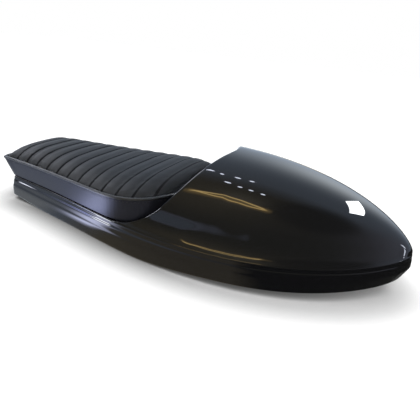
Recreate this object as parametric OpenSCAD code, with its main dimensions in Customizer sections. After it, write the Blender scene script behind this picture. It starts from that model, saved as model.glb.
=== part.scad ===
// Seat for a cafe racer: a one-piece gloss moulding with a tail hump, and an upholstered pad
// that lies on its deck. +X points forwards, +Y to the left, and the lower rim stands on Z = 0.

/* [Moulding outline] */
// Length from the tail to the front edge of the pad
seat_len = 700; // [660:5:740]
// How far the pad stands out past the front of the moulding
pad_overhang = 16; // [11:1:22]
// Half width of the moulding at its front corners
front_half_w = 79; // [73:1:87]
// Half width of the moulding at its widest place
wide_half_w = 134.5; // [126:0.5:142]
// Place of the widest part, measured from the middle of the length
wide_x = -49; // [-70:1:-30]
// Length over which the front corners are rounded
front_round = 7; // [6:0.5:12]
// Wall thickness of the moulding
wall = 4; // [3:0.25:5]

/* [Skirt] */
// Height of the deck above the lower rim
skirt_h = 45; // [42:1:50]
// How far the deck's edge stands in from the lower rim
skirt_in = 4.5; // [3:0.25:7]
// Height of the lower ridge
ridge_low = 23.5; // [21:0.5:26]
// Height of the upper ridge
ridge_high = 35; // [33:0.5:38]
// Height of the skirt at the tail, above the rim there
tail_skirt_h = 39; // [36:1:44]
// Depth of the step at each ridge
ridge_step = 1.2; // [0.6:0.1:1.5]
// How far the lower rim hangs down between the nose and the hump
belly = 8; // [4:1:10]
// Further rise of the lower rim at the tail
tail_rise = 19; // [12:1:26]
// How far the foot of the skirt is tucked in at the tail
tail_tuck = 9; // [4:0.5:11]
// Roundness of the tail seen from above
tail_bulge = 34; // [28:1:42]

/* [Hump] */
// Height of the top of the hump
hump_h = 159; // [148:1:171]
// Place of the lip's highest point
lip_top_x = -75; // [-88:1:-62]
// Place where the lip runs out on the deck's edge
lip_base_x = 60; // [50:1:70]
// Width of the ledge between the deck's edge and the flank
ledge_w = 13; // [8:1:16]
// Width of that ledge at the tail
tail_ledge_w = 8; // [4:1:10]
// Height of the fillet from the ledge up to the flank
fillet_h = 20; // [14:1:26]
// Roundness of the hump's section: 2 is an ellipse
hump_n = 2.1; // [1.9:0.05:2.4]
// Thickness of the folded lip
lip_t = 3.6; // [2.4:0.2:5]
// Place of the recess's foot, at the middle of the deck
recess_x = -38; // [-46:1:-36]

/* [Pad] */
// Height of the piping above the deck, at the front
pad_front_h = 32.5; // [29:0.5:38]
// Height of the piping above the deck, at the back
pad_back_h = 41; // [37:0.5:47]
// Extra rise of the pad's edge at its back
pad_kick = 9; // [0:1:12]
// Crown of the pad above its piping
pad_crown = 18; // [12:0.5:22]
// How far the pad's bottom edge stands in from the lower rim
pad_inset = 6; // [5:0.25:8]
// How far the pad's side leans out, from bottom to top
pad_lean = 6.5; // [4:0.25:8]
// Place of the pad's back edge at its top
pad_back_x = -26; // [-30:1:-18]
// How far the back edge is tucked in at the bottom
back_tuck = 10; // [6:1:14]
// Length of the rounded back corners
back_round = 127; // [112:1:134]
// Distance between two seams
rib_pitch = 27.4; // [24:0.2:30]
// Number of seams across the pad
rib_count = 12; // [11:1:13]
// Distance from the pad's front edge to the first seam
first_rib = 38; // [32:1:44]
// Height that each panel swells above its seams
rib_swell = 3; // [1.5:0.25:4]
// Thickness of the quilted top cover
cover_t = 3; // [2:0.25:4]
// Thickness of the vinyl in the side band
vinyl_t = 1.2; // [0.8:0.1:1.6]
// Diameter of the piping
piping_d = 5; // [4:0.25:6]
// Width of the hem that is turned under the board
hem_w = 16; // [12:1:20]
// Thickness of the pad's base board
board_t = 4; // [3:0.5:6]
// Space left between soft pieces
soft_gap = 0.2; // [0.1:0.05:0.3]

/* [Staples] */
// Length of a staple's crown
staple_w = 10; // [8:1:12]
// Thickness of a staple's wire
staple_t = 0.6; // [0.5:0.1:0.9]
// Length of a staple's legs
staple_leg = 4; // [3:0.5:4.5]
// Number of staples on each side
staple_count = 12; // [8:1:16]

/* [Pad fixings] */
// Radius of the pad's screws
screw_r = 3; // [2.5:0.5:3]
// Width across the flats of the screw's head
screw_flats = 10; // [9:1:11]
// Height of the screw's head
screw_head = 4; // [3:0.5:5]
// Radius of the washers under the deck
washer_r = 12; // [9:1:14]
// Thickness of the washers
washer_t = 1.5; // [1:0.25:2]
// Radius of the tee nut's barrel
tee_r = 4.2; // [4:0.1:5]
// Radius of the tee nut's flange
tee_flange_r = 10; // [8:0.5:12]
// Thickness of the tee nut's flange
tee_flange_t = 1.5; // [1:0.25:2]
// Clearance around a screw
screw_gap = 0.1; // [0.05:0.05:0.3]
// Clearance of the holes through the deck
deck_hole_gap = 0.75; // [0.5:0.25:1.5]
// Distance from the moulding's front to the front pair of screws
screw_setback = 38; // [30:1:48]
// Half the distance between the front pair
screw_front_y = 36; // [28:1:40]
// Distance between the two pairs of screws
screw_pitch = 200; // [192:1:208]
// Half the distance between the back pair
screw_back_y = 60; // [50:1:70]

/* [Frame fixings] */
// Distance from the moulding's front to the front mounting plate
plate_setback = 84; // [78:1:94]
// Distance between the two mounting plates
plate_pitch = 220; // [210:1:230]
// Half the distance between two studs on a plate
stud_y = 50; // [40:1:54]
// How far a plate reaches past its studs
plate_end = 14; // [11:1:18]
// Width of the plates
plate_w = 30; // [24:1:36]
// Thickness of the plates
plate_t = 3; // [2:0.5:4]
// Radius of the frame studs
stud_r = 4; // [3:0.5:4]
// Radius of the stud's pressed shoulder, inside the plate
stud_shoulder_r = 4.5; // [4.3:0.1:5]
// Radius of the stud's pressed head
stud_head_r = 6.5; // [6:0.5:8]
// Thickness of the stud's pressed head
stud_head_t = 1.2; // [0.8:0.2:1.6]
// Length of a stud below its plate
stud_len = 24; // [18:1:25]
// Radius of the rubber buffers
buffer_r = 12.5; // [10:0.5:14]
// Height of the rubber buffers
buffer_h = 18; // [12:1:22]
// Distance from the moulding's front to the front pair of buffers
buffer_setback = 144; // [130:1:160]
// Half the distance between the front pair of buffers
buffer_front_y = 55; // [45:1:60]
// Distance between the two pairs of buffers
buffer_pitch = 128; // [122:1:129]
// Half the distance between the back pair of buffers
buffer_back_y = 88; // [80:1:90]

/* [Hidden] */
$fn = 32;
tail_x = -seat_len / 2;
pad_front_x = seat_len / 2;
shell_front_x = pad_front_x - pad_overhang;
screw_front_x = shell_front_x - screw_setback;
screw_back_x = screw_front_x - screw_pitch;
plate_front_x = shell_front_x - plate_setback;
plate_back_x = plate_front_x - plate_pitch;
buffer_front_x = shell_front_x - buffer_setback;
buffer_back_x = buffer_front_x - buffer_pitch;
deck_under = skirt_h - wall;
hem_z = skirt_h + staple_t;
board_z = hem_z + vinyl_t;
foam_z = board_z + board_t;

// Curves and small helpers
function bez(p, t) = p[0] * pow(1 - t, 3) + 3 * p[1] * t * pow(1 - t, 2)
    + 3 * p[2] * t * t * (1 - t) + p[3] * pow(t, 3);
function mix(a, b, k) = a + (b - a) * k;
function clamp(v) = min(1, max(0, v));
function unit(v) = v / norm(v);

// The lower rim seen from above: one curve from the widest place to the tail, one to the front
back_pull = 0.62;
front_pulls = [0.3, 0.55];
front_flare = 19;
rim_back = [[wide_x, wide_half_w], [mix(wide_x, tail_x, back_pull), wide_half_w], [tail_x, tail_bulge],
            [tail_x, 0]];
rim_front = [[wide_x, wide_half_w], [mix(wide_x, shell_front_x, front_pulls[0]), wide_half_w],
             [mix(wide_x, shell_front_x, front_pulls[1]), front_half_w + front_flare],
             [shell_front_x, front_half_w]];
front_curve = [for (k = [0 : 80]) bez(rim_front, k / 80)];
function rim_w(x) = lookup(min(x, shell_front_x), front_curve);
function tail_share(x) = clamp((wide_x - x) / (wide_x - tail_x));
rise_power = 2.4;
belly_back_x = 30;
belly_run = 140;
nose_run = 84;
function smooth(t) = let (c = clamp(t)) c * c * (3 - 2 * c);
function belly_rise(x) = belly * max(smooth((belly_back_x - x) / belly_run),
    smooth((x - shell_front_x + nose_run) / nose_run));
function rim_rise(x) = tail_rise * pow(tail_share(x), rise_power) + belly_rise(x);
function skirt_scale(x) = (mix(skirt_h, tail_skirt_h + belly, tail_share(x)) - belly_rise(x)) / skirt_h;

// Stations along the left side, from the tail to the front
tail_steps = 18;
tail_side = [for (k = [0 : tail_steps]) bez(rim_back, 1 - k / tail_steps)];
lip_rows = 6;
lip_side_x = [for (k = [1 : lip_rows]) mix(wide_x, lip_base_x, 1 - pow(1 - k / lip_rows, 1.5))];
fold_steps = [1.6, 3.6, 7.5, 14];
fold_x = [for (s = fold_steps) lip_base_x + s];
foot_side_x = lip_base_x + fold_steps[3];
deck_rows = 9;
deck_x = [for (k = [1 : deck_rows]) mix(foot_side_x, shell_front_x - front_round, k / deck_rows)];
nose_rows = 6;
nose_x = [for (k = [1 : nose_rows]) shell_front_x - front_round * pow(1 - k / nose_rows, 3)];
function nose_w(x) = let (s = clamp((x - shell_front_x + front_round) / front_round))
    rim_w(x) * pow(1 - pow(s, 4), 0.25);
side = concat(tail_side, [for (x = concat(lip_side_x, fold_x, deck_x, nose_x)) [x, nose_w(x)]]);
last = len(side) - 1;
lip_row = tail_steps + lip_rows;
foot_row = lip_row + len(fold_steps);

// A closed loop from its left side
function close_loop(s) = concat(s, [for (k = [len(s) - 2 : -1 : 1]) [s[k][0], -s[k][1]]]);

// The outline moved in by d: along its own normals behind the pad, and as a smaller copy of itself
// in front of them, so that the tight front corners don't fold over
function side_normal(k) = let (a = k == 0 ? [side[1][0], -side[1][1]] : side[k - 1],
    t = unit(side[k + 1] - a)) [t[1], -t[0]];
function front_scale(x, d) = mix(foot_side_x, shell_front_x - d,
    (x - foot_side_x) / (shell_front_x - foot_side_x));
function inset_side(d) = [for (k = [0 : last]) let (p = side[k])
    k <= foot_row ? p + d * side_normal(k)
    : [front_scale(p[0], d), (rim_w(p[0]) - d) * p[1] / rim_w(p[0])]];

// The skirt: flared foot, two stepped ridges and a rounded top edge, as [inset, height] pairs
skirt_lean = (skirt_in - 2 * ridge_step - 1) / 3;
skirt_profile = [[0.6, 0], [0, 2], [0.3, 8], [skirt_lean, ridge_low],
    [skirt_lean + ridge_step, ridge_low + 1.2], [2 * skirt_lean + ridge_step, ridge_high],
    [2 * skirt_lean + 2 * ridge_step, ridge_high + 1], [skirt_in - 1, skirt_h - 1.5],
    [skirt_in, skirt_h]];
// The skirt's foot is tucked in at the tail
function tucked(p, z) = let (k = tail_tuck * pow(tail_share(p[0]), 3) * max(0, 1 - z / ridge_low))
    [p[0] + k, p[1] * (1 - k / wide_half_w)];
function skirt_ring(inset, z) = [for (p = close_loop(inset_side(inset))) let (q = tucked(p, z))
    [q[0], q[1], z * skirt_scale(p[0]) + rim_rise(p[0])]];
edge_side = inset_side(skirt_in);
function edge_w(x) = lookup(x, edge_side);
function edge_z(x) = skirt_h * skirt_scale(x) + rim_rise(x);

// The hump: a roof line, a rounded section and a swept lip, on a grid of rows and columns
half_cols = 13;
cols = 2 * half_cols;
lip_run = 71;
lip_lift = 4;
lip_rake = [36, 12];
lip_n = 2.15;
lip_fade = 160;
lip_curve = [[lip_base_x, skirt_h], [lip_base_x - lip_run, skirt_h + lip_lift],
             [lip_top_x + lip_rake[0], hump_h - lip_rake[1]], [lip_top_x, hump_h]];
edge_tail_x = edge_side[0][0];
tail_top = tail_skirt_h + tail_rise + belly;
roof_reach = 0.74;
roof_drop = 3;
roof_bulge = 0.16;
roof_line = [[lip_top_x, hump_h], [mix(lip_top_x, edge_tail_x, roof_reach), hump_h - roof_drop],
             [edge_tail_x, mix(tail_top, hump_h, roof_bulge)], [edge_tail_x, tail_top]];
roof_table = [for (k = [60 : -1 : 0]) bez(roof_line, k / 60)];
function roof_z(x) = lookup(x, roof_table);
function col_angle(j) = 90 * min(j, cols - j) / half_cols;
function col_side(j) = sign(half_cols - j);
lip_points = [for (j = [0 : cols]) bez(lip_curve, sin(col_angle(j)))];
function sweep(j) = (lip_base_x - lip_points[j][0]) / (lip_base_x - lip_top_x);
function rise_of(j) = (lip_points[j][1] - skirt_h) / (hump_h - skirt_h);
function ledge_at(x) = min(0.25 * edge_w(x),
    mix(ledge_w, tail_ledge_w, clamp((lip_top_x - x) / (lip_top_x - edge_tail_x))));
function section_n(x) = mix(hump_n, lip_n, pow(clamp(1 - (lip_top_x - x) / lip_fade), 2));
function hump_point(x, j) = let (s = rise_of(j), h = (roof_z(x) - edge_z(x)) * s, g = ledge_at(x),
    n = section_n(x), round = pow(max(0, 1 - pow(s, n)), 1 / n))
    [x, col_side(j) * ((edge_w(x) - g) * round + g * pow(1 - clamp(h / fillet_h), 3)), edge_z(x) + h];
function hump_row(i, j) = let (x = edge_side[i][0],
    top = mix(edge_tail_x, lip_top_x, (x - edge_tail_x) / (edge_side[lip_row][0] - edge_tail_x)))
    hump_point(mix(x, top, sweep(j)), j);
function fold_row(fwd, depth, j) = hump_row(lip_row, j)
    + [fwd, -depth * col_side(j) * cos(col_angle(j)), -depth * sin(col_angle(j))];

// The recess behind the pad falls from the lip to its foot, and the deck runs on to the front
foot_n = 2.6;
recess_bow = 6;
recess_part = 0.55;
recess_rows = 5;
function bay(j) = pow(sin(col_angle(j)), 2 / foot_n);
function deck_row(i, j, keep) = let (x = edge_side[i][0], power = mix(1, 2 / foot_n, keep))
    [x - keep * (foot_side_x - recess_x) * bay(j),
     col_side(j) * edge_side[i][1] * pow(cos(col_angle(j)), power), skirt_h];
function recess_row(j) = mix(fold_row(1, lip_t, j), deck_row(foot_row, j, 1), recess_part)
    + [recess_bow * pow(sin(col_angle(j)), 2), 0, 0];
function shell_row(i, j) =
    i <= lip_row ? hump_row(i, j)
    : i == lip_row + 1 ? fold_row(1.6, lip_t / 3, j)
    : i == lip_row + 2 ? fold_row(1, lip_t, j)
    : i == lip_row + 3 ? recess_row(j)
    : deck_row(i, j, pow(clamp(1 - (i - foot_row) / recess_rows), 1.2));
inner_side = inset_side(skirt_in + wall);
function inner_point(i, p) = let (lip = i < foot_row ? (i - lip_row + lip_rows) / lip_rows
        : 1 - (i - foot_row) / recess_rows)
    [p[0] + inner_side[i][0] - edge_side[i][0] - wall * clamp(lip),
     p[1] * inner_side[i][1] / edge_side[i][1], p[2] - wall];

// One closed solid from a stack of loops, with a grid of rows over each end
function grid_id(i, j, rows, cols, edge0, mid0) =
    j == 0 || i == 0 || i == rows ? edge0 + i
    : j == cols ? edge0 + 2 * rows - i
    : mid0 + (i - 1) * (cols - 1) + j - 1;
function grid_faces(rows, cols, edge0, mid0, up) = [for (i = [0 : rows - 1], j = [0 : cols - 1])
    let (a = grid_id(i, j, rows, cols, edge0, mid0), b = grid_id(i + 1, j, rows, cols, edge0, mid0),
         c = grid_id(i + 1, j + 1, rows, cols, edge0, mid0), d = grid_id(i, j + 1, rows, cols, edge0, mid0))
    each [if (b != c) up ? [a, b, c] : [c, b, a], if (a != d) up ? [a, c, d] : [d, c, a]]];
function band_faces(n, from, to) = [for (k = [0 : n - 1]) let (m = (k + 1) % n)
    each [[from + k, from + m, to + m], [from + k, to + m, to + k]]];
module capped(loops, top, bottom) {
    rows = len(top) - 1;
    cols = len(top[0]) - 1;
    n = 2 * rows;
    rings = len(loops);
    top0 = rings * n;
    bottom0 = top0 + (rows - 1) * (cols - 1);
    function mid(g) = [for (i = [1 : rows - 1], j = [1 : cols - 1]) g[i][j]];
    polyhedron(points = concat([for (l = loops) each l], mid(top), mid(bottom)),
        faces = concat([for (r = [0 : rings - 2]) each band_faces(n, r * n, (r + 1) * n)],
            grid_faces(rows, cols, (rings - 1) * n, top0, true),
            grid_faces(rows, cols, 0, bottom0, false)), convexity = 6);
}
module hoop(loops) {
    n = len(loops[0]);
    rings = len(loops);
    polyhedron(points = [for (l = loops) each l],
        faces = [for (r = [0 : rings - 1]) each band_faces(n, r * n, ((r + 1) % rings) * n)],
        convexity = 6);
}

// One-piece moulding: skirt, deck, hump with its lip, and the recess behind the pad
module shell_body() {
    inner_low = skirt_ring(wall + 0.6, 0);
    inner_high = skirt_ring(skirt_in + wall, deck_under);
    outer = [for (i = [0 : last]) [for (j = [0 : cols]) shell_row(i, j)]];
    inner = [for (i = [0 : last]) [for (j = [0 : cols])
        i == 0 || i == last ? outer[i][j] : inner_point(i, outer[i][j])]];
    capped(concat([inner_high, inner_low], [for (q = skirt_profile) skirt_ring(q[0], q[1])]),
        outer, inner);
}
module at_pad_screws() {
    for (s = [-1, 1]) {
        translate([screw_front_x, s * screw_front_y, 0]) children();
        translate([screw_back_x, s * screw_back_y, 0]) children();
    }
}
module tail_shell() {
    color([0.02, 0.02, 0.025]) difference() {
        shell_body();
        at_pad_screws() translate([0, 0, deck_under - 1])
            cylinder(r = screw_r + deck_hole_gap, h = wall + 2);
    }
}

// The pad's edge seen from above, at its bottom and at its top
back_n = 2.5;
pad_back = [pad_back_x + back_tuck, pad_back_x];
pad_front = [shell_front_x - 1, pad_front_x];
pad_nose = 8;
kick_len = 130;
function pad_edge_z(x) = skirt_h
    + mix(pad_back_h, pad_front_h, clamp((x - pad_back_x) / (pad_front_x - pad_back_x)))
    + pad_kick * pow(clamp((pad_back_x + kick_len - x) / kick_len), 2);
seams = [for (k = [0 : rib_count - 1]) pad_front_x - first_rib - k * rib_pitch];
last_seam = seams[rib_count - 1];
end_rows = 6;
rib_rows = 4;
pad_x = concat([for (k = [0 : end_rows - 1]) mix(pad_back_x, last_seam, pow(k / end_rows, 3))],
    [for (r = [rib_count - 1 : -1 : 1], k = [0 : rib_rows - 1]) seams[r] + rib_pitch * k / rib_rows],
    [for (k = [0 : end_rows]) mix(seams[0], pad_front_x, 1 - pow(1 - k / end_rows, 3))]);
// Station along the pad, 0 at its back and 1 at its front, carried to the edge at each level
function pad_station(x, level) = mix(pad_back[level], pad_front[level],
    (x - pad_back_x) / (pad_front_x - pad_back_x));
function pad_side(level, d) = [for (x0 = pad_x) let (x = pad_station(x0, level),
    w = rim_w(x) - pad_inset + level * pad_lean,
    corner = pad_back_x + back_round,
    b = clamp((corner - x) / (corner - pad_back[level])),
    f = clamp((x - pad_front[level] + pad_nose) / pad_nose))
    [mix(pad_back[level] + d, pad_front[level] - d, (x0 - pad_back_x) / (pad_front_x - pad_back_x)),
     (w - d) * pow(1 - pow(b, back_n), 1 / back_n) * pow(1 - pow(f, 4), 0.25)]];
pad_rows = len(pad_x) - 1;
function low_loop(inset, z) = [for (p = close_loop(pad_side(0, inset))) [p[0], p[1], z]];
function top_loop(inset, dz) = [for (p = close_loop(pad_side(1, inset)))
    [p[0], p[1], pad_edge_z(p[0]) + dz]];
band_in = piping_d / 2;

// Height of the pad's top: crowned across, rolled down at both ends, and swollen between seams
front_roll = 34;
back_roll = 10;
crown_n = 3.6;
function roll(x) = sqrt(max(0, 1 - pow(clamp((x - pad_front_x + front_roll) / front_roll), 2)))
    * sqrt(max(0, 1 - pow(clamp((pad_back_x + back_roll - x) / back_roll), 2)));
function swell(x) = let (k = (x - last_seam) / rib_pitch,
    f = x < last_seam ? (last_seam - x) / (last_seam - pad_back_x)
        : x > seams[0] ? (x - seams[0]) / first_rib : k - floor(k + 0.0001))
    rib_swell * pow(max(0, sin(180 * clamp(f))), 0.6);
pad_cols = 14;
function pad_col(j) = cos(180 * j / pad_cols);
function top_grid(side, rise, ribs) = [for (i = [0 : pad_rows]) [for (j = [0 : pad_cols])
    let (u = pad_col(j), x = side[i][0], fade = 1 - pow(abs(u), crown_n))
    [x, side[i][1] * u, pad_edge_z(x) + rise
        + fade * roll(pad_x[i]) * pad_crown + ribs * swell(pad_x[i]) * min(1, 3 * fade)
        * roll(pad_x[i])]]];

cover_in = piping_d + soft_gap;
cover_low = -cover_t / 2;
cover_high = cover_t / 2;
module ribbed_cover() {
    edge = pad_side(1, cover_in);
    color([0.16, 0.17, 0.18]) capped([top_loop(cover_in, cover_low), top_loop(cover_in, cover_high)],
        top_grid(edge, cover_high, 1), top_grid(edge, cover_low, 0));
}

// The foam is smooth along its length, so every second station of the cover is enough
function thin(side) = [for (k = [0 : 2 : pad_rows]) side[k]];
function foam_grid(side, top) = [for (i = [0 : len(side) - 1]) [for (j = [0 : pad_cols])
    let (u = pad_col(j), x = side[i][0])
    [x, side[i][1] * u, top ? foam_top(x) + pad_crown * roll(pad_x[2 * i]) * (1 - pow(abs(u), crown_n))
        : foam_z]]];
function foam_top(x) = pad_edge_z(x) + cover_low - 2 * soft_gap;
module pad_foam() {
    low = thin(pad_side(0, vinyl_t + soft_gap));
    high = thin(pad_side(1, cover_in));
    color([0.85, 0.8, 0.6]) difference() {
        capped([[for (p = close_loop(low)) [p[0], p[1], foam_z]],
                [for (p = close_loop(high)) [p[0], p[1], foam_top(p[0])]]],
            foam_grid(high, true), foam_grid(low, false));
        at_pad_screws() translate([0, 0, foam_z - 1])
            cylinder(r = tee_flange_r + 0.5, h = 1 + 2 * tee_flange_t + 1);
    }
}

module at_staples() {
    hem = pad_side(0, hem_w / 2);
    for (k = [1 : staple_count]) {
        p = hem[round(mix(4, pad_rows - 4, (k - 0.5) / staple_count))];
        for (s = [-1, 1]) translate([p[0], s * p[1], skirt_h]) children();
    }
}
module staple_legs(grow) {
    for (s = [-1, 1]) translate([s * (staple_w - staple_t) / 2, 0, 0])
        translate([-staple_t / 2 - grow, -staple_t / 2 - grow, 0])
        cube([staple_t + 2 * grow, staple_t + 2 * grow, staple_leg]);
}
module cover_staples() {
    color("silver") at_staples() union() {
        translate([-staple_w / 2, -staple_t / 2, 0]) cube([staple_w, staple_t, staple_t]);
        staple_legs(0);
    }
}

// Side band of vinyl, with its hem turned under the board
module side_band() {
    top = -band_in - soft_gap;
    color([0.13, 0.13, 0.16]) difference() {
        hoop([low_loop(hem_w, hem_z), low_loop(0, hem_z), top_loop(band_in, top),
              top_loop(band_in + vinyl_t, top), low_loop(vinyl_t, board_z),
              low_loop(hem_w, board_z)]);
        at_staples() staple_legs(0.05);
    }
}

piping_sides = 8;
module piping() {
    r = piping_d / 2;
    color([0.12, 0.12, 0.13]) hoop([for (k = [0 : piping_sides - 1])
        let (a = -360 * (k + 0.5) / piping_sides) top_loop(r + r * cos(a), -r * sin(a))]);
}

module pad_board() {
    edge = close_loop(pad_side(0, vinyl_t + soft_gap));
    color([0.55, 0.42, 0.28]) difference() {
        translate([0, 0, board_z]) linear_extrude(board_t) polygon(edge);
        at_pad_screws() translate([0, 0, board_z - 1]) cylinder(r = tee_r, h = board_t + 2);
        at_staples() staple_legs(0.05);
    }
}

// Pad fixings: tee nuts in the board, and screws with washers from below the deck
module tee_nuts() {
    color("silver") at_pad_screws() difference() {
        union() {
            translate([0, 0, board_z]) cylinder(r = tee_r, h = board_t);
            translate([0, 0, foam_z]) cylinder(r = tee_flange_r, h = tee_flange_t);
        }
        translate([0, 0, board_z - 1]) cylinder(r = screw_r + screw_gap, h = board_t + tee_flange_t + 2);
    }
}
module pad_washers() {
    color("silver") at_pad_screws() difference() {
        translate([0, 0, deck_under - washer_t]) cylinder(r = washer_r, h = washer_t);
        translate([0, 0, deck_under - washer_t - 1]) cylinder(r = screw_r + 2 * screw_gap, h = washer_t + 2);
    }
}
module pad_screws() {
    seat = deck_under - washer_t;
    color("dimgray") at_pad_screws() union() {
        translate([0, 0, seat - screw_head]) cylinder(d = screw_flats / cos(30), h = screw_head, $fn = 6);
        translate([0, 0, seat]) cylinder(r = screw_r, h = foam_z + tee_flange_t - seat);
    }
}

// Frame fixings: two steel plates bonded under the deck, each with two pressed studs
module mounting_plate(x) {
    difference() {
        translate([x - plate_w / 2, -stud_y - plate_end, deck_under - plate_t])
            cube([plate_w, 2 * (stud_y + plate_end), plate_t]);
        for (s = [-1, 1]) translate([x, s * stud_y, 0]) {
            translate([0, 0, deck_under - plate_t - 1]) cylinder(r = stud_shoulder_r, h = plate_t + 2);
            translate([0, 0, deck_under - stud_head_t]) cylinder(r = stud_head_r, h = stud_head_t + 1);
        }
    }
}
module plate_studs(x) {
    for (s = [-1, 1]) translate([x, s * stud_y, 0]) union() {
        translate([0, 0, deck_under - plate_t - stud_len]) cylinder(r = stud_r, h = stud_len);
        translate([0, 0, deck_under - plate_t]) cylinder(r = stud_shoulder_r, h = plate_t - stud_head_t);
        translate([0, 0, deck_under - stud_head_t]) cylinder(r = stud_head_r, h = stud_head_t);
    }
}
module front_plate() { color([0.45, 0.46, 0.48]) mounting_plate(plate_front_x); }
module back_plate() { color([0.45, 0.46, 0.48]) mounting_plate(plate_back_x); }
module front_studs() { color("silver") plate_studs(plate_front_x); }
module back_studs() { color("silver") plate_studs(plate_back_x); }

// Rubber buffers that rest on the frame's rails
module rubber_buffers() {
    color([0.08, 0.08, 0.08]) for (s = [-1, 1]) {
        translate([buffer_front_x, s * buffer_front_y, deck_under - buffer_h])
            cylinder(r = buffer_r, h = buffer_h);
        translate([buffer_back_x, s * buffer_back_y, deck_under - buffer_h])
            cylinder(r = buffer_r, h = buffer_h);
    }
}

tail_shell();
pad_board();
pad_foam();
ribbed_cover();
side_band();
piping();
cover_staples();
tee_nuts();
pad_screws();
pad_washers();
front_plate();
back_plate();
front_studs();
back_studs();
rubber_buffers();
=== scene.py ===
import math

import bpy
from mathutils import Matrix, Vector


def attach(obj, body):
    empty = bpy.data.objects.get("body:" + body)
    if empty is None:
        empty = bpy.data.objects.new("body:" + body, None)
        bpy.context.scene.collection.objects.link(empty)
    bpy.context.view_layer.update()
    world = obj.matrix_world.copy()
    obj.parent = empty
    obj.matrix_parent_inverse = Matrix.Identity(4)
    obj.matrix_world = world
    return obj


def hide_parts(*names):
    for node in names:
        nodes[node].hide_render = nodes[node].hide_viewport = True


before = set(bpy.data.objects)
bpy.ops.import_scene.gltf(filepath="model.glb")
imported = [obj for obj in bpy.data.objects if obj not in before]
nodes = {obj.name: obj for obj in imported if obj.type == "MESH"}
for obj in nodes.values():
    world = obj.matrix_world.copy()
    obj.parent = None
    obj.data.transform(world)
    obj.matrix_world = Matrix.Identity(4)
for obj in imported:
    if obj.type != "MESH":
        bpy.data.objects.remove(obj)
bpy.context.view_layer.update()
bpy.ops.object.select_all(action="DESELECT")


# The camera stands close behind the seat on its left side and looks down at it, a little tilted.
# Its lens is given by the photograph's 420 pixels of width.
view_turn, view_height, view_tilt = math.radians(202.1), math.radians(24.86), math.radians(5.81)
look_at, view_distance = Vector((-0.0333, -0.0153, 0.0387)), 0.638
turned = (Matrix.Rotation(view_turn, 3, "Z") @ Matrix.Rotation(math.pi / 2 - view_height, 3, "X")
          @ Matrix.Rotation(view_tilt, 3, "Z"))
bpy.ops.object.camera_add(location=look_at + turned @ Vector((0, 0, view_distance)),
                          rotation=turned.to_euler())
camera = bpy.context.object
camera.data.sensor_width = 36
camera.data.lens = 36 * 368.4 / 420
bpy.context.scene.camera = camera


# The room is what the gloss reflects: dark on the left, where the camera stands, lighter on the
# right and behind, with a softbox, a window and small lamps, each placed by the way it lies from
# the seat. Only mirror reflections see it: the backdrop and the plain light are white.
class Shade:
    def __init__(self, tree, socket):
        self.tree, self.socket = tree, socket

    def node(self, kind, settings=None, out=0, **inputs):
        made = self.tree.nodes.new(kind)
        for name, value in (settings or {}).items():
            setattr(made, name, value)
        for name, value in inputs.items():
            place = made.inputs[int(name[1:])] if name[0] == "i" and name[1:].isdigit() \
                else made.inputs[name.replace("_", " ")]
            if isinstance(value, Shade):
                self.tree.links.new(value.socket, place)
            elif hasattr(value, "__len__") and place.type == "RGBA":
                place.default_value = (*value, 1)
            else:
                place.default_value = value
        return Shade(self.tree, made.outputs[out])

    def sum(self, how, a, b=0.0):
        return self.node("ShaderNodeMath", {"operation": how}, i0=a, i1=b)

    def __add__(self, other): return self.sum("ADD", self, other)
    def __radd__(self, other): return self.sum("ADD", other, self)
    def __sub__(self, other): return self.sum("SUBTRACT", self, other)
    def __rsub__(self, other): return self.sum("SUBTRACT", other, self)
    def __mul__(self, other): return self.sum("MULTIPLY", self, other)
    def __rmul__(self, other): return self.sum("MULTIPLY", other, self)
    def __truediv__(self, other): return self.sum("DIVIDE", self, other)
    def __rtruediv__(self, other): return self.sum("DIVIDE", other, self)
    def __pow__(self, other): return self.sum("POWER", self, other)
    def __rpow__(self, other): return self.sum("POWER", other, self)
    def __abs__(self): return self.sum("ABSOLUTE", self)

    def clamp(self):
        return self.node("ShaderNodeClamp", Value=self, Min=0.0, Max=1.0)

    def blend(self, first, second):
        return self.node("ShaderNodeMix", {"data_type": "RGBA"}, 2, i0=self, i6=first, i7=second)

    def grey(self):
        return self.node("ShaderNodeCombineColor", None, 0, Red=self, Green=self, Blue=self)

    def axis(self, which):
        return self.node("ShaderNodeSeparateXYZ", None, which, Vector=self)


world = bpy.data.worlds.new("studio")
bpy.context.scene.world = world
world.use_nodes = True
world.cycles.sampling_method = "NONE"
tree = world.node_tree
way = Shade(tree, None).node("ShaderNodeTexCoord")


def along(direction):
    return way.node("ShaderNodeVectorMath", {"operation": "DOT_PRODUCT"}, 1,
                    i0=way, i1=Vector(direction).normalized())


def glow(direction, sharpness):
    return along(direction).clamp() ** sharpness


def spot(direction, degrees, soft):
    edge = math.cos(math.radians(degrees))
    return ((along(direction) - edge) / (1 - edge) / soft).clamp()


# A strip lamp runs from its first end to its last. It is half wide to each side, its edge is soft
# over a share of that, and a bow bends it aside in the middle.
def strip(first, last, half, soft=1.0, bow=0.0):
    first, last = Vector(first).normalized(), Vector(last).normalized()
    side = first.cross(last).normalized()
    middle = (first + last).normalized()
    reach = middle.dot(first)
    off = along(side) - bow * (1 - (1 - along(middle)) / (1 - reach))
    return ((half - abs(off)) / (half * soft)).clamp() \
        * ((along(middle) - reach) / (0.25 * (1 - reach))).clamp()


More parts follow.
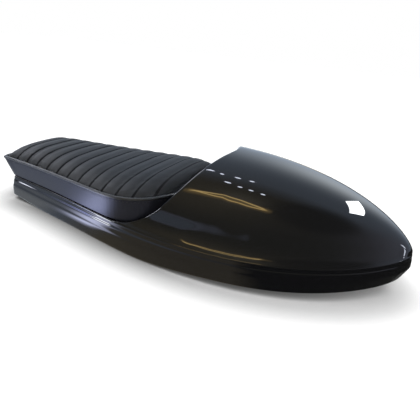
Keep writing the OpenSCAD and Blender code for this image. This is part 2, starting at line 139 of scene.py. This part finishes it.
# The walls, with a warm, a lilac, a white and a second warm glow and one dark patch.
room = ((way.axis(1) + 0.02) / 0.36).clamp().blend((0.62, 0.74, 0.92), (0.17, 0.17, 0.14))
room = (glow((0.3, 0.62, 0.72), 6) * 0.9).blend(room, (0.46, 0.4, 0.27))
room = (glow((-0.98, 0.12, 0.2), 9) * 0.8).blend(room, (0.55, 0.56, 0.68))
room = glow((-0.2, -0.85, 0.52), 14).blend(room, (2.1, 2.3, 2.5))
room = (glow((0.08, 0.62, 0.8), 60) * 0.8).blend(room, (0.8, 0.72, 0.54))
room = (spot((-0.5, 0.5, 0.72), 26, 0.6) * 0.6).blend(room, (0.08, 0.08, 0.07))
# The strips: a low grey one, the softbox, a wide card ahead of the seat, and three gold ones.
for first, last, half, soft, bow, colour in [
        ((0.66, 0.75, 0.0), (-0.1, 0.994, 0.04), 0.05, 1.0, 0.0, (0.62, 0.67, 0.86)),
        ((0.842, 0.54, -0.2), (0.81, 0.535, 0.24), 0.06, 0.25, 0.0, (15.0, 15.5, 18.0)),
        ((0.92, -0.24, 0.28), (0.6, -0.15, 0.78), 0.36, 0.3, 0.0, (4.4, 4.5, 5.0)),
        ((0.46, 0.6, 0.66), (-0.19, 0.68, 0.7), 0.09, 1.0, 0.05, (2.0, 1.4, 0.58)),
        ((0.42, 0.6, 0.68), (-0.15, 0.68, 0.72), 0.028, 1.0, 0.12, (9.0, 6.3, 2.5)),
        ((0.39, 0.588, 0.711), (-0.143, 0.681, 0.718), 0.02, 1.0, 0.0, (9.0, 6.2, 2.4))]:
    room = strip(first, last, half, soft, bow).blend(room, colour)
# Two rows of small lamps overhead, and three behind the tail.
for place in [(0.35, -0.059, 0.935), (0.285, -0.026, 0.958), (0.176, -0.004, 0.984),
              (0.088, -0.003, 0.996), (0.206, 0.208, 0.956), (0.124, 0.263, 0.957),
              (0.046, 0.286, 0.957), (-0.036, 0.305, 0.952)]:
    room = spot(place, 1.1, 0.6).blend(room, (16.0, 17.0, 20.0))
for place in [(-0.978, -0.117, 0.175), (-0.99, -0.066, 0.122), (-0.858, -0.479, -0.187)]:
    room = spot(place, 1.7, 0.5).blend(room, (9.0, 9.5, 11.0))
# The window has four corners, and light falls in between its four edges.
corners = [Vector(corner) for corner in [(-0.4, -0.492, 0.774), (-0.355, -0.772, 0.527),
                                         (-0.621, -0.281, 0.732), (-0.57, -0.098, 0.816)]]
centre = sum(corners, Vector()).normalized()
window = 1.0
for first, second in zip(corners, corners[1:] + corners[:1]):
    side = first.cross(second).normalized()
    side = side if side.dot(centre) > 0 else -side
    window = (along(side) / 0.01).clamp() * window
room = window.blend(room, (40.0, 41.0, 42.0))

mirror = way.node("ShaderNodeLightPath", None, 3)
camera_ray = way.node("ShaderNodeLightPath", None, 0)
plain = (way.axis(2).clamp() ** 2 * 2.1).grey()
seen = camera_ray.blend(mirror.blend(plain, room), (1, 1, 1))
tree.links.new(seen.socket, tree.nodes["Background"].inputs["Color"])
bpy.context.scene.view_settings.view_transform = "Standard"


# The floor is white to the camera and keeps the seat's shadow, and its colour and glow are painted
# darker where the skirt is near, a painted contact shadow.
# In the gloss it is black under the tail, brown in the middle and slate at the front, with a
# lighter patch by the nose and three painted patches of lamp light.
def material(name, **constants):
    made = bpy.data.materials.new(name)
    made.use_nodes = True
    shader = made.node_tree.nodes["Principled BSDF"]
    for key, value in constants.items():
        socket = shader.inputs[key.replace("_", " ")]
        socket.default_value = (*value, 1) if socket.type == "RGBA" else value
    place = Shade(made.node_tree, None)
    return made, place.node("ShaderNodeTexCoord", None, 3), shader


def plug(shader, **sockets):
    for key, value in sockets.items():
        value.tree.links.new(value.socket, shader.inputs[key.replace("_", " ")])


bpy.ops.mesh.primitive_plane_add(size=14, location=(0, 0, 0))
floor = bpy.context.object
floor.name = "studio_floor"
floor_paint, at, shader = material("studio_white", Roughness=1, Specular_IOR_Level=0,
                                   Emission_Strength=0.16)
tree = floor_paint.node_tree
along_x, along_y = at.axis(0), at.axis(1)


# How far a point of the floor lies from a start along a heading, and how well inside a wedge that
# opens that way.
def wedge(start, heading, spread):
    over_x, over_y = along_x - start[0], along_y - start[1]
    far = over_x * heading[0] + over_y * heading[1]
    aside = over_y * heading[0] - over_x * heading[1]
    return far, 1 - abs(aside) / (far * spread + 0.001)


tone = ((along_x + 0.18) / 0.05).clamp().blend((0.05, 0.05, 0.045), (0.42, 0.37, 0.28))
tone = ((along_x - 0.1) / 0.12).clamp().blend(tone, (0.52, 0.6, 0.74))
by_nose = ((0.16 - along_y) / 0.06).clamp() * ((along_x - 0.22) / 0.06).clamp()
tone = by_nose.blend(tone, (0.95, 1.03, 1.12))
# Painted light: a pool, a beam and a bar of lamp light glow in the floor's gloss colour.
away = at.node("ShaderNodeVectorMath", {"operation": "DISTANCE"}, 1, i0=at, i1=(0.18, 0.148, 0))
pool = 2.718 ** (-0.5 * (away / 0.034) ** 2) \
    * ((along_y - 0.126 + (along_x - 0.14) * 0.19) / 0.014).clamp()
tone = (pool * ((along_x - 0.13) / 0.03).clamp()).blend(tone, (6.2, 6.6, 9.0))
far, within = wedge((0.075, 0.118), (0.891, 0.454), 0.19)
beam = within.clamp() * ((far - 0.2) / 0.05).clamp() * ((0.75 - far) / 0.3).clamp()
tone = beam.blend(tone, (5.0, 5.6, 10.0))
far, within = wedge((0.09, 0.116), (0.819, 0.574), 0.11)
lit_bar = (within * 4).clamp() * ((far - 0.13) / 0.02).clamp() * ((0.4 - far) / 0.02).clamp()
tone = lit_bar.blend(tone, (14.0, 14.5, 16.0))
# Painted contact shadow: the floor's colour and glow darken where the seat is near.
painted_contact_shadow = at.node("ShaderNodeAmbientOcclusion", {"samples": 16}, 1, Distance=0.055) ** 1.8
painted_contact_shadow = painted_contact_shadow.grey()
plug(shader, Base_Color=painted_contact_shadow, Emission_Color=painted_contact_shadow)
reflected = at.node("ShaderNodeEmission", None, 0, Color=tone)
glossy = at.node("ShaderNodeLightPath", None, 3)
mixed = at.node("ShaderNodeMixShader", None, 0,
                i0=glossy, i1=Shade(tree, shader.outputs[0]), i2=reflected)
tree.links.new(mixed.socket, tree.nodes["Material Output"].inputs["Surface"])
floor.data.materials.append(floor_paint)


# The moulding is one glass fibre shell in gloss black: skirt, deck, hump and folded lip. Its mesh
# is the CAD skin, merged and subdivided. The inside is bare laminate.
def merged_copy(node_name, name, quads=True):
    bpy.ops.object.select_all(action="DESELECT")
    piece = nodes[node_name].copy()
    piece.data = piece.data.copy()
    piece.name = name
    piece.parent = None
    bpy.context.collection.objects.link(piece)
    bpy.context.view_layer.objects.active = piece
    piece.select_set(True)
    bpy.ops.object.mode_set(mode="EDIT")
    bpy.ops.mesh.select_all(action="SELECT")
    bpy.ops.mesh.remove_doubles(threshold=0.00002)
    if quads:
        bpy.ops.mesh.tris_convert_to_quads(face_threshold=math.pi, shape_threshold=math.pi)
    bpy.ops.object.mode_set(mode="OBJECT")
    return piece


def subdivide(piece, levels):
    smooth = piece.modifiers.new("smooth", "SUBSURF")
    smooth.levels = smooth.render_levels = levels
    bpy.ops.object.modifier_apply(modifier="smooth")


def paint(piece, *paints):
    piece.data.materials.clear()
    for each in paints:
        piece.data.materials.append(each)


shell = merged_copy("tail_shell", "moulded_shell")
subdivide(shell, 2)
bpy.ops.object.shade_smooth()
gloss, at, shader = material("black_gloss", Base_Color=(0.004, 0.004, 0.005), Roughness=0.02)
orange_peel = at.node("ShaderNodeTexNoise", None, 0, Vector=at, Scale=60.0, Detail=2.0)
plug(shader, Roughness=orange_peel * 0.03 + 0.005)
laminate, at, shader = material("bare_laminate", Base_Color=(0.05, 0.05, 0.045), Roughness=0.55)
strands = at.node("ShaderNodeTexNoise", None, 0, Vector=at, Scale=90.0, Detail=6.0, Distortion=3.0)
resin = at.node("ShaderNodeTexVoronoi", {"feature": "DISTANCE_TO_EDGE"}, 0, Vector=at, Scale=70.0)
plug(shader,
     Base_Color=((strands - 0.35) * 2.5).clamp().blend((0.018, 0.018, 0.02), (0.085, 0.085, 0.075)),
     Roughness=strands * 0.3 + 0.4,
     Normal=at.node("ShaderNodeBump", None, 0, Height=strands + resin * 0.5, Strength=0.5,
                    Distance=0.0008))
paint(shell, gloss, laminate)
# Faces that look at the shell's middle line are its inside, apart from the recess over the deck.
deck_z, recess_back_x = 0.044, -0.1
for face in shell.data.polygons:
    x, y, z = face.center
    inside = face.normal.dot(Vector((0, y, z + 0.05))) < -0.01
    if inside and not (z > deck_z and x > recess_back_x and face.normal.x > -0.3):
        face.material_index = 1
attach(shell, "root")
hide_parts("tail_shell")


# The cover is one sheet of vinyl, sewn in ribs across the pad and puffed up by the foam between
# its seams. It is remeshed, its seams and hem are held, and the cloth swells between them.
first_seam, seam_pitch, seam_count = 0.312, 0.0274, 12
seams = [first_seam - seam_pitch * k for k in range(seam_count)]
cover = merged_copy("ribbed_cover", "ribbed_seat_cover", quads=False)
# A voxel is a fifth of the pitch, so that a row of points falls on every seam.
voxel = seam_pitch / 5
shift = (0.5 - first_seam / voxel % 1) * voxel
for vertex in cover.data.vertices:
    vertex.co.x += shift
cover.data.remesh_voxel_size = voxel
bpy.ops.object.voxel_remesh()
for vertex in cover.data.vertices:
    vertex.co.x -= shift
held = cover.vertex_groups.new(name="sewn")
for vertex in cover.data.vertices:
    on_seam = min(abs(vertex.co.x - seam) for seam in seams) < voxel * 0.4
    if vertex.normal.z < 0.55 or on_seam:
        held.add([vertex.index], 1, "REPLACE")
before = [vertex.co.copy() for vertex in cover.data.vertices]
most_swell = 0.0015
swell = cover.modifiers.new("swell", "CLOTH")
swell.settings.vertex_group_mass = "sewn"
swell.settings.use_pressure = True
swell.settings.uniform_pressure_force = 4
swell.settings.quality = 3
swell.collision_settings.use_collision = False
swell.settings.effector_weights.gravity = 0
swell.point_cache.frame_start, swell.point_cache.frame_end = 1, 20
for step in range(1, 21):
    bpy.context.scene.frame_set(step)
bpy.ops.object.modifier_apply(modifier="swell")
bpy.context.scene.frame_set(1)
for vertex, start in zip(cover.data.vertices, before):
    moved = vertex.co - start
    if moved.length > most_swell:
        vertex.co = start + moved.normalized() * most_swell
subdivide(cover, 1)
# The top sinks a little, and less on both sides of a seam, which leaves a soft shoulder there.
channel, narrow, wide = 0.0012, 0.0016, 0.004
on_top = [vertex for vertex in cover.data.vertices if vertex.normal.z > 0.1]
for vertex in on_top:
    gap = min(abs(vertex.co.x - seam) for seam in seams)
    vertex.co.z -= channel * (1 + math.exp(-(gap / narrow) ** 2) - math.exp(-(gap / wide) ** 2))
bpy.ops.object.shade_smooth()
ribs, at, shader = material("ribbed_vinyl", Base_Color=(0.045, 0.048, 0.05), Roughness=0.5,
                            Specular_IOR_Level=0.17)
grain = at.node("ShaderNodeTexVoronoi", None, 0, Vector=at, Scale=900.0)
wear = at.node("ShaderNodeTexNoise", None, 0, Vector=at, Scale=14.0, Detail=3.0)
# Each seam is painted nearly black along a thin line, a painted shade in the groove, and is rougher
# there.
panel = (first_seam - at.axis(0)) / seam_pitch + 0.5
panel = panel.sum("FRACT", panel) - 0.5
painted_seam_shade = (2.2 - abs(panel) / 0.043).clamp() * ((first_seam + 0.002 - at.axis(0)) / 0.001).clamp()
# The vinyl is painted darker towards the back by the lip, a painted shade, and lighter at the rib
# ends by the piping, a painted sheen, with random wear besides.
rear_shade_fade = ((at.axis(0) + 0.03) / 0.36).clamp()
side_end_sheen = ((abs(at.axis(1)) - 0.068) / 0.035).clamp()
vinyl_wear_shade_and_sheen = (rear_shade_fade * 0.85 + wear * 0.15 + side_end_sheen * 0.5).blend((0.008, 0.0092, 0.0115),
                                                                 (0.023, 0.0244, 0.0262))
plug(shader, Base_Color=(painted_seam_shade * 0.95).blend(vinyl_wear_shade_and_sheen, (0.003, 0.003, 0.004)),
     Roughness=wear * 0.12 + painted_seam_shade * 0.4 + 0.48 + (0.4 - rear_shade_fade * 2).clamp(),
     Normal=at.node("ShaderNodeBump", None, 0, Height=grain, Strength=0.25, Distance=0.0003))
paint(cover, ribs)
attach(cover, "root")
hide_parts("ribbed_cover")


# The side band is a smooth strip of vinyl round the pad, stretched from the board up to the
# piping. Its hem turns under the board, so its sharp edges are creased before it is subdivided.
sharp = math.radians(40)
band = merged_copy("side_band", "vinyl_side_band")
bpy.ops.object.mode_set(mode="EDIT")
bpy.ops.mesh.select_all(action="DESELECT")
bpy.ops.mesh.edges_select_sharp(sharpness=sharp)
bpy.ops.transform.edge_crease(value=1)
bpy.ops.object.mode_set(mode="OBJECT")
subdivide(band, 2)
bpy.ops.object.shade_smooth_by_angle(angle=sharp)
side_vinyl, at, shader = material("band_vinyl", Base_Color=(0.03, 0.03, 0.036), Roughness=0.34,
                                  Specular_Tint=(0.6, 0.66, 1.0), Specular_IOR_Level=0.36)
grain = at.node("ShaderNodeTexVoronoi", None, 0, Vector=at, Scale=900.0)
wear = at.node("ShaderNodeTexNoise", None, 0, Vector=at, Scale=12.0, Detail=3.0)
plug(shader, Base_Color=wear.blend((0.011, 0.0115, 0.014), (0.018, 0.0185, 0.024)),
     Roughness=wear * 0.1 + 0.3,
     Normal=at.node("ShaderNodeBump", None, 0, Height=grain, Strength=0.15, Distance=0.0003))
paint(band, side_vinyl)
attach(band, "root")
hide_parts("side_band")


# The piping is a vinyl cord, sewn into the seam between the cover and the band all round the pad.
# Its mesh is the CAD cord, merged and subdivided.
piping = merged_copy("piping", "piping_cord")
subdivide(piping, 2)
bpy.ops.object.shade_smooth()
cord_vinyl, at, shader = material("piping_vinyl", Base_Color=(0.035, 0.037, 0.04), Roughness=0.38)
wear = at.node("ShaderNodeTexNoise", None, 0, Vector=at, Scale=30.0, Detail=3.0)
plug(shader, Base_Color=wear.blend((0.018, 0.02, 0.023), (0.026, 0.028, 0.032)),
     Roughness=wear * 0.15 + 0.32)
paint(piping, cord_vinyl)
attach(piping, "root")
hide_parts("piping")


# The thread is a row of short stitches in the band, just under the piping. It follows the middle
# of the piping, found spoke by spoke round the pad, and each stitch is laid on the band below.
pad_middle_x, stitch_step, stitch_drop = 0.16, 0.0015, Vector((0, 0, 0.0055))
spokes = {}
for vertex in nodes["piping"].data.vertices:
    turn = math.atan2(vertex.co.y, vertex.co.x - pad_middle_x)
    spokes.setdefault(round(turn, 4), []).append(vertex.co)
turns = sorted(spokes)
points = [sum(spokes[turn], Vector()) / len(spokes[turn]) for turn in turns]
rail = []
for k in range(720):
    turn = -math.pi + k * math.pi / 360
    near = [p for t, p in zip(turns, points) if abs(t - turn) < 0.035]
    if near:
        rail.append(sum(near, Vector()) / len(near))
rail.append(rail[0])
path, walked = [], 0.0
for first, second in zip(rail, rail[1:]):
    length = (second - first).length
    while walked < length:
        path.append(first.lerp(second, walked / length))
        walked += stitch_step
    walked -= length
threads = bpy.data.curves.new("seam_thread", "CURVE")
threads.dimensions = "3D"
threads.bevel_depth = 0.00035
threads.bevel_resolution = 1
# Three points of the path make a stitch, and the fourth is the gap to the next one.
for k in range(0, len(path) - 3, 4):
    line = threads.splines.new("POLY")
    line.points.add(2)
    for spline_point, point in zip(line.points, path[k:k + 3]):
        found, on_band, normal, index = band.closest_point_on_mesh(point - stitch_drop)
        spline_point.co = (*(on_band + normal * 0.0001), 1)
thread = bpy.data.objects.new("seam_thread", threads)
bpy.context.collection.objects.link(thread)
bpy.ops.object.select_all(action="DESELECT")
bpy.context.view_layer.objects.active = thread
thread.select_set(True)
bpy.ops.object.convert(target="MESH")
thread = bpy.context.object
bpy.ops.object.shade_smooth()
yarn, at, shader = material("black_thread", Base_Color=(0.03, 0.03, 0.035), Roughness=0.6)
twist = at.node("ShaderNodeTexWave", None, 1, Vector=at, Scale=500.0)
plug(shader, Base_Color=twist.blend((0.012, 0.012, 0.014), (0.05, 0.05, 0.056)))
thread.data.materials.append(yarn)
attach(thread, "root")


# The pad's core is a block of yellow foam, glued on a birch plywood board. Both are the CAD
# solids in their own materials, and the cover and the band hide them.
foam, at, shader = material("seat_foam", Base_Color=(0.5, 0.45, 0.3), Roughness=0.9)
cells = at.node("ShaderNodeTexVoronoi", None, 0, Vector=at, Scale=700.0)
plug(shader, Base_Color=cells.blend((0.36, 0.31, 0.2), (0.56, 0.5, 0.34)),
     Normal=at.node("ShaderNodeBump", None, 0, Height=cells, Strength=0.6, Distance=0.0005))
birch, at, shader = material("birch_board", Base_Color=(0.4, 0.28, 0.16), Roughness=0.6)
veins = at.node("ShaderNodeTexNoise", None, 0, Scale=8.0, Detail=5.0, Distortion=1.0,
                Vector=at.node("ShaderNodeMapping", None, 0, Vector=at, Scale=(3.0, 30.0, 30.0)))
plug(shader, Base_Color=veins.blend((0.24, 0.15, 0.08), (0.5, 0.36, 0.22)),
     Roughness=veins * 0.3 + 0.45)
for name, finish, slot in [("pad_foam", foam, "foam"), ("pad_board", birch, "board")]:
    paint(nodes[name], finish)


# The two plates are bonded under the deck and carry the studs. They are bare rolled steel, in the
# CAD solids' own meshes.
rolled_steel, at, shader = material("plate_steel", Base_Color=(0.42, 0.43, 0.44), Roughness=0.4,
                                    Metallic=1.0)
rolled = at.node("ShaderNodeTexNoise", None, 0, Scale=20.0, Detail=5.0,
                 Vector=at.node("ShaderNodeMapping", None, 0, Vector=at, Scale=(12.0, 1.0, 12.0)))
plug(shader, Base_Color=rolled.blend((0.3, 0.31, 0.32), (0.5, 0.5, 0.51)),
     Roughness=rolled * 0.35 + 0.25)
for name in ["front_plate", "back_plate"]:
    paint(nodes[name], rolled_steel)


# The studs bolt the seat to the frame, the screws, washers and tee nuts hold the pad on the deck,
# and the staples hold the band's hem. All are zinc plated steel, in the CAD solids' own meshes.
zinc, at, shader = material("fastener_steel", Base_Color=(0.6, 0.6, 0.58), Roughness=0.3,
                            Metallic=1.0)
bloom = at.node("ShaderNodeTexNoise", None, 0, Vector=at, Scale=180.0, Detail=4.0)
plug(shader, Base_Color=bloom.blend((0.46, 0.46, 0.45), (0.68, 0.68, 0.65)),
     Roughness=bloom * 0.3 + 0.2)
for name in ["front_studs", "back_studs", "tee_nuts", "pad_screws", "pad_washers",
             "cover_staples"]:
    paint(nodes[name], zinc)


# The four buffers under the deck rest on the bike's frame rails. They are black rubber, dusty on
# the outside, in the CAD solids' own meshes.
rubber, at, shader = material("buffer_rubber", Base_Color=(0.02, 0.02, 0.02), Roughness=0.75)
dust = at.node("ShaderNodeTexNoise", None, 0, Vector=at, Scale=120.0, Detail=5.0)
plug(shader, Base_Color=dust.blend((0.012, 0.012, 0.012), (0.03, 0.03, 0.029)),
     Roughness=dust * 0.3 + 0.6)
paint(nodes["rubber_buffers"], rubber)
